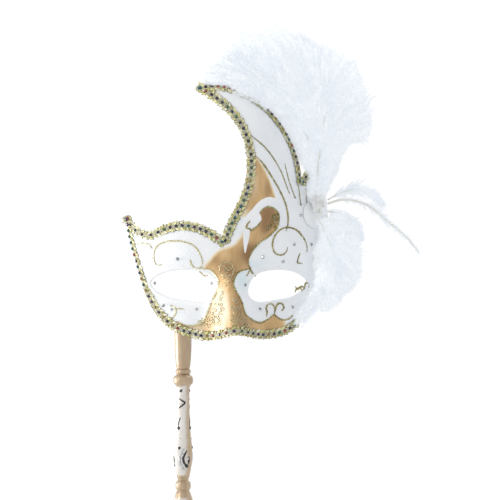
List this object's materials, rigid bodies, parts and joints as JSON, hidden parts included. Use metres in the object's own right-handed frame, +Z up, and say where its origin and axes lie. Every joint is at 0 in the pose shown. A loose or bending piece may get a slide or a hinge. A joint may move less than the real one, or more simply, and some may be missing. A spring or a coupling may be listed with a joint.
{
  "type": "venetian masquerade mask",
  "caption": "Half mask with open eyes, moulded nose and tall flame crest, braid edging, feather spray at one temple, on a turned stick handle.",
  "frame": {"origin": "centre of the flat butt face of the stick handle", "axes": "+Z up along the stick towards the mask and its feathers; the painted front faces -Y; +X is to the right of a viewer who faces the front"},
  "size_m": [0.2232, 0.1049, 0.4709],
  "materials": {
    "shell_white": "white and gold paint, satin",
    "handle_gold": "gold paint, satin",
    "glue": "translucent hot glue",
    "stone": "faceted, clear to gold",
    "thread": "white wound thread",
    "felt": "white felt",
    "braid_gold": "metallic gold thread",
    "sequin": "iridescent foil",
    "feather_white": "soft white barbs"
  },
  "bodies": {
    "root": {"mask_shell": "shell_white", "handle": "handle_gold", "handle_glue": "glue", "handle_stones": "stone", "rhinestones_face": "stone", "feather_binding": "thread", "feather_backing": "felt", "braid_brow": "braid_gold", "braid_crest_front": "braid_gold", "braid_crest_back": "braid_gold", "braid_rear_flame": "braid_gold", "braid_lower": "braid_gold", "sequins_brow": "sequin", "sequins_crest_front": "sequin", "sequins_crest_back": "sequin", "sequins_rear_flame": "sequin", "sequins_lower": "sequin", "plume_left": "feather_white", "plume_upright": "feather_white", "plume_right": "feather_white", "plume_back": "feather_white", "short_feather_front": "feather_white", "short_feather_upper": "feather_white", "short_feather_outer": "feather_white", "short_feather_lower": "feather_white", "short_feather_cheek": "feather_white", "stripped_feather": "feather_white", "blade_feather": "feather_white"}
  },
  "joints": []
}
